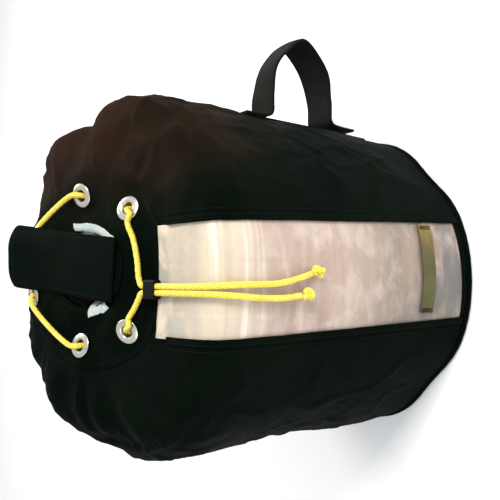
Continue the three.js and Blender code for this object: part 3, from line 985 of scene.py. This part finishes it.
def add_film_fold():
    """The clear sheet's top end, folded over the hem, crumpled and tucked down along an uneven line."""
    bm = gathered(turned(even_profile(t_at_radius(0.110), t_at_radius(0.072), 0.0011, 0.0009), 110, -38, 76))
    cut(bm, box_planes((-0.0450, -0.1080, 0.2), (0.0410, -0.0822, 0.4)))
    for vert in bm.verts:
        x, y = vert.co.x, vert.co.y
        crumple = 0.5 + noise.noise(Vector((x * 46, y * 90, 4)))
        crumple += 0.5 * noise.noise(Vector((x * 120, y * 160, 8)))
        lane = smooth(abs(x - TAIL_LANE), 0.009, 0.016)
        corner = exp(-((x + 0.040) / 0.006) ** 2) * 1.6
        end = 0.0985 + 0.0045 * noise.noise(Vector((x * 38, 1, 6)))
        near = smooth(-y, 0.0822, 0.086) * (1 - smooth(-y, end - 0.006, end))
        sunk = 2.6 * smooth(-y, end - 0.004, end + 0.0015)
        rise = max(0, (crumple * 0.8 + corner) * near) * lane
        vert.co = settle(vert.co) + Z * (rise - sunk) * MM
    fold = piece("window_top_fold", bm, FILM, stands_for=["window_top_edge"], wide=GIRTH)
    thicken(fold, 0.0005, 1.0)


def add_lining_edges():
    """Two places where the pale lining's edge has worked out over the mouth's edge, beside the flap."""
    profile = []
    for k in range(16):
        profile.append((0.0440 - 0.0011 * k, 0.3139 + (min(k, 4) - max(0, k - 4) ** 2) * 0.00010))
    for name, first, spread, reach in (("right", 40, 68, 1.0), ("left", -82, 32, 0.85)):
        bm = gathered(turned(profile, 70, first, spread))
        for vert in bm.verts:
            radius = hypot(vert.co.x, vert.co.y)
            turn = atan2(vert.co.x, -vert.co.y) * 180 / pi
            share = (turn - first) / spread
            wave = abs(noise.noise(Vector((share * 9, 2, first)))) * 2.6
            ragged = 1.4 * abs(noise.noise(Vector((share * 23, 6, radius * 220))))
            taper = 0.2 + 0.8 * smooth(share, 0, 0.22) * (1 - smooth(share, 0.80, 1.0))
            away = Vector((vert.co.x, vert.co.y, 0)) / radius
            rise = 1.4 + wave * smooth(0.040 - radius, 0.003, 0.010)
            vert.co += away * ((1 - taper) * 2.5 + ragged) * reach * MM + Z * rise * MM
        scrap = piece(f"lining_edge_{name}", bm, SHADED_LINING_EDGE, wide=GIRTH)
        thicken(scrap, 0.0007)


def wall_line(x_at, t_from, t_to, gap, out=0.0):
    """Points up the wall where a gathered point's x is x_at(height)."""
    line = []
    for radius, height in even_profile(t_from, t_to, gap, out):
        want = x_at(height)
        turn = want / radius
        for _ in range(8):
            spot = gather(Vector((radius * sin(turn), -radius * cos(turn), height)))
            turn += (x_at(spot.z) - spot.x) / radius
        line.append(spot)
    return line


def dressed(points, out=0.0):
    """Points laid on the settled cloth, with the way out at each."""
    laid, ways = [], []
    for point in points:
        way = outward(point, along_cloth(point))
        laid.append(settle(point) + way * out)
        ways.append(way)
    return laid, ways


def across_of(points, ways):
    """The way across a strap at each point, given its way out."""
    sides = []
    for i, way in enumerate(ways):
        run = points[min(i + 1, len(points) - 1)] - points[max(i - 1, 0)]
        sides.append(run.cross(way).normalized())
    return sides


def add_bindings():
    for name, side in (("left", -1), ("right", 1)):
        line = wall_line(window_side(side), 0.012, T_HEM - 0.02, 0.003)
        line = [p for p in line if p.y < WINDOW_END + 0.001]
        points, ways = dressed(line, 0.0009)
        strap = sweep(points, rounded_band(0.0058, 0.0013, 0.0005), across_of(points, ways))
        piece(f"binding_{name}", strap, BINDING_CLOTH,
              stands_for=[f"window_binding_{name}"], wide=0.014)


def add_base():
    """The round base, and the piping where it meets the wall."""
    flat = [(0.136 * k / 16, 0.0) for k in range(16)]
    rim = [(0.1346, 0.0), (0.1358, 0.0006), (0.1362, 0.0016), (0.1357, 0.0030)]
    top = [(0.136 * k / 8, 0.0030) for k in range(7, -1, -1)]
    base = knocked(turned(flat + rim + top, 160))
    bmesh.ops.recalc_face_normals(base, faces=base.faces)
    piece("base_cloth", base, CLOTH, stands_for=["base_panel"], wide=GIRTH)
    ring = [(0.1406 + u, 0.0042 + v) for u, v in circle(PIPING_RADIUS, 14)]
    piping = turned(ring + ring[:1], 420)
    bmesh.ops.recalc_face_normals(piping, faces=piping.faces)
    for vert in piping.verts:
        turn = atan2(vert.co.x, -vert.co.y)
        pucker = noise.noise(Vector((cos(turn) * 26, sin(turn) * 26, vert.co.z * 60))) * 0.30 * MM
        vert.co += Vector((vert.co.x, vert.co.y, 0)).normalized() * (pucker - 0.0001)
    knocked(piping)
    piece("piping_cover", piping, HEM_CLOTH, stands_for=["base_piping"], wide=GIRTH)


STRIP_X, STRIP_Z = 0.009, 0.062
STRIP_LENGTH = 0.076


def on_sheet(x, height, out):
    """A point standing off the clear sheet's lower part, and the way out there."""
    radius = wall_at(t_at_height(height))[0] + out
    spot = Vector((x, -(radius**2 - x * x) ** 0.5, 0))
    return spot + Z * height, spot.normalized()


def add_id_strip():
    """The olive strip, which follows the clear sheet and is tacked down at both ends."""
    points, ways = [], []
    for k in range(49):
        x = STRIP_X + STRIP_LENGTH * (k / 48 - 0.5)
        height = STRIP_Z - WINDOW_SLOPE * (x - STRIP_X) + 0.0016 * exp(-((x - 0.016) / 0.012) ** 2)
        lift = 0.0009 * sin(pi * k / 48) + 0.0008 * exp(-((x - 0.014) / 0.008) ** 2)
        spot, way = on_sheet(x, height, 0.0014)
        ways.append(way)
        points.append(spot + way * lift)
    strip = sweep(points, rounded_band(0.015, 0.0012, 0.0004), across_of(points, ways))
    piece("id_webbing", strip, OLIVE_WEBBING, stands_for=["id_strip"], wide=0.032)
    for name, x in (("left", -0.0265), ("right", 0.0445)):
        bm = bmesh.new()
        for row in (-0.0012, 0.0, 0.0012):
            for k in range(11):
                up = -0.0062 + 0.0124 * k / 10
                at = x + row
                spot, way = on_sheet(at, STRIP_Z - WINDOW_SLOPE * (at - STRIP_X) + up, 0.0024)
                add_stitch(bm, spot, Z + X * (0.4 if k % 2 else -0.4), way, 0.0017, 0.00032)
        piece(f"id_tack_{name}_thread", bm, DARK_THREAD, stands_for=[f"id_tack_{name}"])


def add_handle_patch():
    bm = gathered(turned(even_profile(0.02, 0.42, 0.003, 0.0004), 70, 76, 28))
    cut(bm, box_planes((0.1, -0.027, 0.0255), (0.2, 0.027, 0.1715)))
    patch = piece("patch_cloth", settled(bm), BINDING_CLOTH, stands_for=["handle_patch"],
                  wide=GIRTH)
    thicken(patch, 0.0018, 1.0)


# ---- stitching -----------------------------------------------------------------------------------

def stitch_bead():
    """A bead of a few dozen faces, drawn out along X, which every stitch repeats."""
    bm = bmesh.new()
    turn = Matrix.Rotation(pi / 2, 4, "Y")
    bmesh.ops.create_uvsphere(bm, u_segments=6, v_segments=4, radius=1, matrix=turn)
    mesh = bpy.data.meshes.new("bead")
    bm.to_mesh(mesh)
    bm.free()
    return mesh


BEAD = stitch_bead()


def add_stitch(bm, point, way, out, long, radius):
    """One stitch: a bead drawn out along the seam and sunk a little into the cloth."""
    way = (way - out * way.dot(out)).normalized()
    turn = Matrix((way, out.cross(way), out)).transposed().to_4x4()
    matrix = Matrix.Translation(point) @ turn @ Matrix.Diagonal((long / 2, radius, radius * 0.8, 1))
    bead = BEAD.copy()
    bead.transform(matrix)
    bm.from_mesh(bead)
    bpy.data.meshes.remove(bead)


def stitch_line(bm, points, ways, long=0.0026, gap=0.0013, radius=0.00036):
    """A row of stitches along points on a surface."""
    run, want = 0.0, gap
    for i in range(len(points) - 1):
        step = points[i + 1] - points[i]
        while want <= run + step.length:
            share = (want - run) / step.length
            out = ways[i].lerp(ways[i + 1], share).normalized()
            add_stitch(bm, points[i].lerp(points[i + 1], share), step, out, long, radius)
            want += long + gap
        run += step.length


def ring_line(radius, height, count):
    """Points round the gathered bag at a radius and height of the upright one."""
    turns = [2 * pi * k / count for k in range(count + 1)]
    return [gather(Vector((radius * sin(a), -radius * cos(a), height))) for a in turns]


def in_window(point):
    return all((point - p).dot(w) < 0.004 for p, w in window_planes(0))


def runs_outside_window(points):
    """Splits a line into the runs that are on cloth, not on the clear sheet."""
    runs, now = [], []
    for point in points:
        if in_window(point):
            runs, now = runs + [now], []
        else:
            now.append(point)
    return [run for run in runs + [now] if len(run) > 2]


def add_body_stitching():
    """Rows round the base and under the hem, and two up each side of the window."""
    bm = bmesh.new()
    for t in (0.018, 0.032, T_HEM - 0.012):
        for run in runs_outside_window(ring_line(*wall_at(t), 260)):
            stitch_line(bm, *dressed(run, 0.0002))
    for side in (-1, 1):
        for off, out in ((0.0017, 0.0016), (0.0065, 0.0002)):
            line = wall_line(window_side(side, off), 0.014, T_HEM - 0.02, 0.004)
            line = [p for p in line if p.y < WINDOW_END]
            stitch_line(bm, *dressed(line, out))
    piece("wall_stitching", bm, DARK_THREAD)


def add_hem_stitching():
    bm = bmesh.new()
    for radius in (0.0885, 0.0865, 0.0400):
        for run in runs_outside_window(ring_line(*wall_at(t_at_radius(radius)), 200)):
            stitch_line(bm, *dressed(run, 0.0002), long=0.0024)
    piece("hem_stitching", bm, DARK_THREAD)


FOOT_HEIGHTS = (63, 134)  # millimetres, the lower and the upper leg


def foot_points(height, side):
    """The line of one of the handle's feet down the wall, as (x, height) in millimetres."""
    return [(161.5, height), (157.5 + 0.4 * side, height + 3 * side),
            (155.9 + 1.1 * side, height + 12 * side), (155.5 + 2 * side, height + 30 * side)]


def foot_line_x(distance, side):
    """How far out a foot of the handle lies, this far from its top, in metres."""
    for k in range(61):
        at, _ = spline(foot_points(0, side), k / 60)
        if abs(at.y) * MM >= distance:
            return at.x * MM
    return 0.1555


def add_patch_stitching():
    """A row round the patch, and a box with a cross over each foot of the handle."""
    bm = bmesh.new()

    def on_patch(y, z, out):
        radius = wall_at(t_at_height(z))[0]
        spot = Vector(((radius**2 - y * y) ** 0.5, y, z))
        way = Vector((spot.x, spot.y, 0)).normalized()
        return settle(spot) + way * out, way

    def sewn(corners, out, flat_x=None):
        for (y0, z0), (y1, z1) in zip(corners, corners[1:]):
            spots = [on_patch(y0 + (y1 - y0) * k / 24, z0 + (z1 - z0) * k / 24, out) for k in range(25)]
            points, ways = [s[0] for s in spots], [s[1] for s in spots]
            if flat_x:
                points = [Vector((flat_x(p.z), p.y, p.z)) for p in points]
                ways = [X] * len(ways)
            stitch_line(bm, points, ways)

    sewn([(-0.0245, 0.028), (0.0245, 0.028), (0.0245, 0.169), (-0.0245, 0.169), (-0.0245, 0.028)], 0.0024)
    for foot, side in zip(FOOT_HEIGHTS, (-1, 1)):
        foot *= MM
        low, high = sorted((foot + side * 0.010, foot + side * 0.028))
        box = [(-0.0165, low), (0.0165, low), (0.0165, high), (-0.0165, high), (-0.0165, low)]

        def surface(z, foot=foot, side=side):
            return foot_line_x(abs(z - foot), side) + 0.0015

        sewn(box, 0, surface)
        sewn([(-0.0165, low), (0.0165, high)], 0, surface)
        sewn([(0.0165, low), (-0.0165, high)], 0, surface)
    piece("patch_stitching", bm, DARK_THREAD)


# ---- handle, flap, cord and eyelets --------------------------------------------------------------


def add_handle():
    """One length of webbing: up from the lower foot, round the loop and down to the upper foot."""
    low, high = FOOT_HEIGHTS
    middle, half = (low + high) / 2, (high - low) / 2
    loop = [(178, low), (203, middle - 0.9 * half), (223, middle - 0.56 * half), (238, middle),
            (223, middle + 0.56 * half), (203, middle + 0.9 * half), (178, high)]
    lower = [spline(foot_points(low, -1), 1 - k / 9)[0] for k in range(10)]
    upper = [spline(foot_points(high, 1), k / 9)[0] for k in range(10)]
    bow = [spline(loop, k / 24)[0] for k in range(25)]
    points = even_points([Vector((p.x, 0, p.y)) * MM for p in lower + bow + upper], 0.0022)
    whole = length_of(points)
    sides, run = [], 0.0
    for i, point in enumerate(points):
        run += (point - points[i - 1]).length if i else 0
        twist = radians(7) * sin(2 * pi * run / whole)
        twist += radians(4) * exp(-((run / whole - 0.5) / 0.12) ** 2)
        sides.append(Matrix.Rotation(twist * smooth(point.x, 0.175, 0.21), 3, X + Z * 0.3) @ Y)
    bm = sweep(points, rounded_band(0.038, 0.0026), sides)
    centre = Vector((0.178, 0, middle * MM))
    for vert in bm.verts:
        free = smooth(vert.co.x, 0.170, 0.200)
        cup = (vert.co.y / 0.019) ** 2
        wave = noise.noise(vert.co * 34) * 0.9 * free
        away = vert.co - centre
        away.y = 0
        vert.co += away.normalized() * (wave - 1.3 * cup * free) * MM
    strap = piece("handle_strap", bm, BLACK_WEBBING, None,
                  ["handle_webbing", "handle_foot_lower", "handle_foot_upper"], wide=0.081)
    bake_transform(strap, "bag", "handle", (0.161, 0, middle * MM), (0.184, 0, middle * MM))


FLAP_ROOT = Vector((7, -40, 305.5)) * MM
FLAP_TIP = Vector((21, 82, 353.5)) * MM
FLAP_WIDTH = 0.053  # at its sewn end
FLAP_SPREAD = 0.05  # how much wider it is at its free end


def near_flap(flap, point, out):
    """The point moved along out to the flap's upper side."""

    def aside(vert):
        off = vert.co - point
        return (off - out * off.dot(out)).length_squared

    nearest = min(flap.data.vertices, key=aside)
    return point + out * ((nearest.co - point).dot(out) + 0.0015)


def add_flap():
    """The band over the mouth: doubled cloth that sags a little over the opening."""
    along = (FLAP_TIP - FLAP_ROOT).normalized()
    across = along.cross(Z).normalized()
    out = across.cross(along)
    length = (FLAP_TIP - FLAP_ROOT).length
    bm = bmesh.new()
    bmesh.ops.create_grid(bm, x_segments=26, y_segments=64, size=0.5)
    layer_round, layer_along = start_layers(bm)
    for vert in bm.verts:
        u, v = vert.co.x, vert.co.y + 0.5
        vert[layer_round], vert[layer_along] = u + 0.5, v * length
        corner = smooth(v, 0.93, 1.0)
        half = FLAP_WIDTH / 2 * (1 + FLAP_SPREAD * smooth(v, 0.3, 1.0) - 0.03 * corner * corner)
        sag = -2.0 * sin(pi * v) + 1.0 * sin(2 * pi * v) - 3.0 * (2 * u) ** 2 * smooth(v, 0.08, 0.5)
        ripple = noise.noise(Vector((u * 2.3, v * 4.2, 5))) * 2.2 * smooth(v, 0.04, 0.22)
        curl = 2.4 * smooth(v, 0.86, 1.0) * (1 - 1.3 * (2 * u) ** 2)
        spot = FLAP_ROOT + across * (2 * u * half) + along * (v * length)
        spot += along * -0.0022 * (2 * u) ** 8 * smooth(v, 0.93, 1.0)
        vert.co = spot + out * (sag + ripple + curl + 0.2) * MM
    bm.normal_update()
    if sum(face.normal.dot(out) for face in bm.faces) < 0:
        bmesh.ops.reverse_faces(bm, faces=bm.faces)
    flap = piece("flap_cloth", bm, FLAP_CLOTH, None, ["mouth_flap"], wide=FLAP_WIDTH)
    thicken(flap, 0.0028, 0.0)
    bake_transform(flap, "bag", "flap", FLAP_ROOT - along * 0.001, FLAP_ROOT + along * 0.012)
    corners = []
    for u, v in ((-0.44, 0.06), (-0.44, 0.95), (0.44, 0.95), (0.44, 0.06)):
        corners.append(FLAP_ROOT + across * (u * FLAP_WIDTH) + along * (v * length) + out * 0.0022)
    row = []
    for a, b in zip(corners, corners[1:]):
        row += [a.lerp(b, k / 20) for k in range(20)]
    row = [near_flap(flap, point, out) for point in row + corners[-1:]]
    seam = bmesh.new()
    stitch_line(seam, row, [out] * len(row), radius=0.00042)
    stitches = piece("flap_stitching", seam, DARK_THREAD, None)
    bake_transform(stitches, "bag", "flap", FLAP_ROOT - along * 0.001, FLAP_ROOT + along * 0.012)
    bm = gathered(turned(even_profile(t_at_radius(0.044), t_at_radius(0.037), 0.0012, 0.0004), 60, -45, 110))
    cut(bm, box_planes((-0.013, -0.08, 0.2), (0.027, -0.029, 0.4)))
    tab = piece("flap_tab_cloth", settled(bm), FLAP_CLOTH, stands_for=["flap_tab"],
                wide=GIRTH)
    thicken(tab, 0.0019, 1.0)


def braid(bm):
    """Raises the crossing strands of a braided cord."""
    around, along = bm.verts.layers.float["around"], bm.verts.layers.float["along"]
    bm.normal_update()
    for vert in bm.verts:
        one = sin(2 * pi * (4 * vert[around] + vert[along] / 0.0058))
        two = sin(2 * pi * (4 * vert[around] - vert[along] / 0.0058))
        vert.co += vert.normal * (max(one, two) - 0.45) * 0.17 * MM
    return bm


def add_cords():
    loop = even_points(drawcord_points(), 0.0008)
    piece("drawcord_braid", braid(sweep(loop, circle(CORD_RADIUS * MM))), CORD,
          stands_for=["drawcord"], wide=1)
    for side in ("left", "right"):
        centre = Vector(KNOTS[side]) * MM
        turn = Matrix.Rotation(radians(35 if side == "left" else -50), 3, Y)
        turn = turn @ Matrix.Rotation(radians(20), 3, X)
        trefoil = []
        for k in range(121):
            a = 2 * pi * k / 120
            spot = Vector((sin(a) + 2 * sin(2 * a), cos(a) - 2 * cos(2 * a), -sin(3 * a)))
            trefoil.append(centre + turn @ spot * 1.3 * MM)
        knot = sweep(trefoil, circle(0.0021, 12))
        knot_piece = piece(f"knot_{side}", braid(knot), CORD,
                           stands_for=[f"cord_knot_{side}"], wide=1)
        route = even_points([Vector(p) * MM for p in TAILS[side]], 0.0008)
        tail = piece(f"tail_{side}", braid(sweep(route, circle(CORD_RADIUS * MM))), CORD,
                     stands_for=[f"cord_tail_{side}"], wide=1)
        length_of(route)


def lathe_piece(name, profile, place, normal, out, stands_for):
    """Turns a closed line of (radius, height) in millimetres into a ring standing on a point."""
    bm = bmesh.new()
    line = [bm.verts.new((r * MM, 0, z * MM)) for r, z in profile]
    edges = [bm.edges.new(pair) for pair in zip(line, line[1:] + line[:1])]
    bmesh.ops.spin(bm, geom=line + edges, axis=Z, cent=(0, 0, 0), angle=2 * pi, steps=40,
                   use_merge=True, use_duplicate=False)
    bmesh.ops.remove_doubles(bm, verts=bm.verts, dist=1e-7)
    bmesh.ops.recalc_face_normals(bm, faces=bm.faces)
    turn = Z.rotation_difference(normal).to_matrix().to_4x4()
    matrix = Matrix.Translation(place + normal * out) @ turn
    bmesh.ops.transform(bm, matrix=matrix, verts=bm.verts)
    piece(name, bm, METAL, stands_for=[stands_for])


ROLLED_RING = [
    (4.75, -5.4), (4.95, -5.75), (5.5, -5.8), (6, -5.5), (6, 0.4), (8.2, 0.4), (10.1, 0.4), (10.4, 0.62),
    (10.35, 0.95), (9.9, 1.25), (8.8, 1.6), (7.6, 1.9), (6.6, 1.98), (5.8, 1.8), (5.1, 1.35), (4.8, 0.7),
    (4.75, -1.5),
]
WASHER = [(6.4, -0.45), (9.4, -0.5), (9.6, -0.2), (9.5, 0.3), (8.4, 0.5), (6.8, 0.45), (6.4, 0.2)]
WASHER_DEPTH = HEM + EYELET_LIFT + 0.0009


def add_eyelets():
    for i, (point, upright, around) in enumerate(EYELETS):
        normal = Matrix.Rotation(radians(EYELET_TILTS[i]), 3, around) @ upright
        lathe_piece(f"eyelet_ring_{i + 1}", ROLLED_RING, point, normal, EYELET_LIFT, f"eyelet_{i + 1}")
        lathe_piece(f"eyelet_back_{i + 1}", WASHER, point, normal, -WASHER_DEPTH, f"eyelet_washer_{i + 1}")


def finish_keeper():
    """The keeper keeps its solid's shape and gets a moulded finish."""
    keeper = next(o for o in bpy.context.scene.objects if o.get("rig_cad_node") == "cord_keeper")
    keeper.data.materials.clear()
    keeper.data.materials.append(MOLDED)


LIGHTS = [
    ("key", (0.80, -0.85, 1.10), 0.5, 20, (1, 0.97, 0.92)),
    ("fill", (-0.95, -0.9, 0.75), 1.0, 6, (0.92, 0.96, 1)),
    ("rim", (0.6, 0.9, 0.95), 0.6, 9, (1, 0.93, 0.86)),
]


def add_studio():
    """A pale floor, an even white surround and three soft lamps."""
    floor = bmesh.new()
    bmesh.ops.create_grid(floor, x_segments=1, y_segments=1, size=9)
    mesh = bpy.data.meshes.new("floor")
    floor.to_mesh(mesh)
    floor.free()
    mesh.materials.append(pale_floor())
    made = bpy.data.objects.new("floor", mesh)
    bpy.context.scene.collection.objects.link(made)
    world = bpy.data.worlds.new("studio")
    world.use_nodes = True
    background = world.node_tree.nodes["Background"]
    background.inputs["Color"].default_value = (0.96, 0.98, 1, 1)
    background.inputs["Strength"].default_value = 0.80
    bpy.context.scene.world = world
    bpy.context.scene.view_settings.view_transform = "Standard"
    target = Vector((0.01, 0, 0.17))
    for name, place, size, power, tint in LIGHTS:
        data = bpy.data.lights.new(name, "AREA")
        data.size, data.energy, data.color = size, power, tint
        lamp = bpy.data.objects.new(name, data)
        lamp.location = place
        lamp.rotation_euler = (target - Vector(place)).to_track_quat("-Z", "Y").to_euler()
        bpy.context.scene.collection.objects.link(lamp)


add_cords()
add_eyelets()
finish_keeper()
add_wall()
add_hem()
add_liner()
add_lining_edges()
add_film()
add_film_fold()
add_bindings()
add_base()
add_id_strip()
add_handle_patch()
add_handle()
add_flap()
add_body_stitching()
add_hem_stitching()
add_patch_stitching()
add_studio()
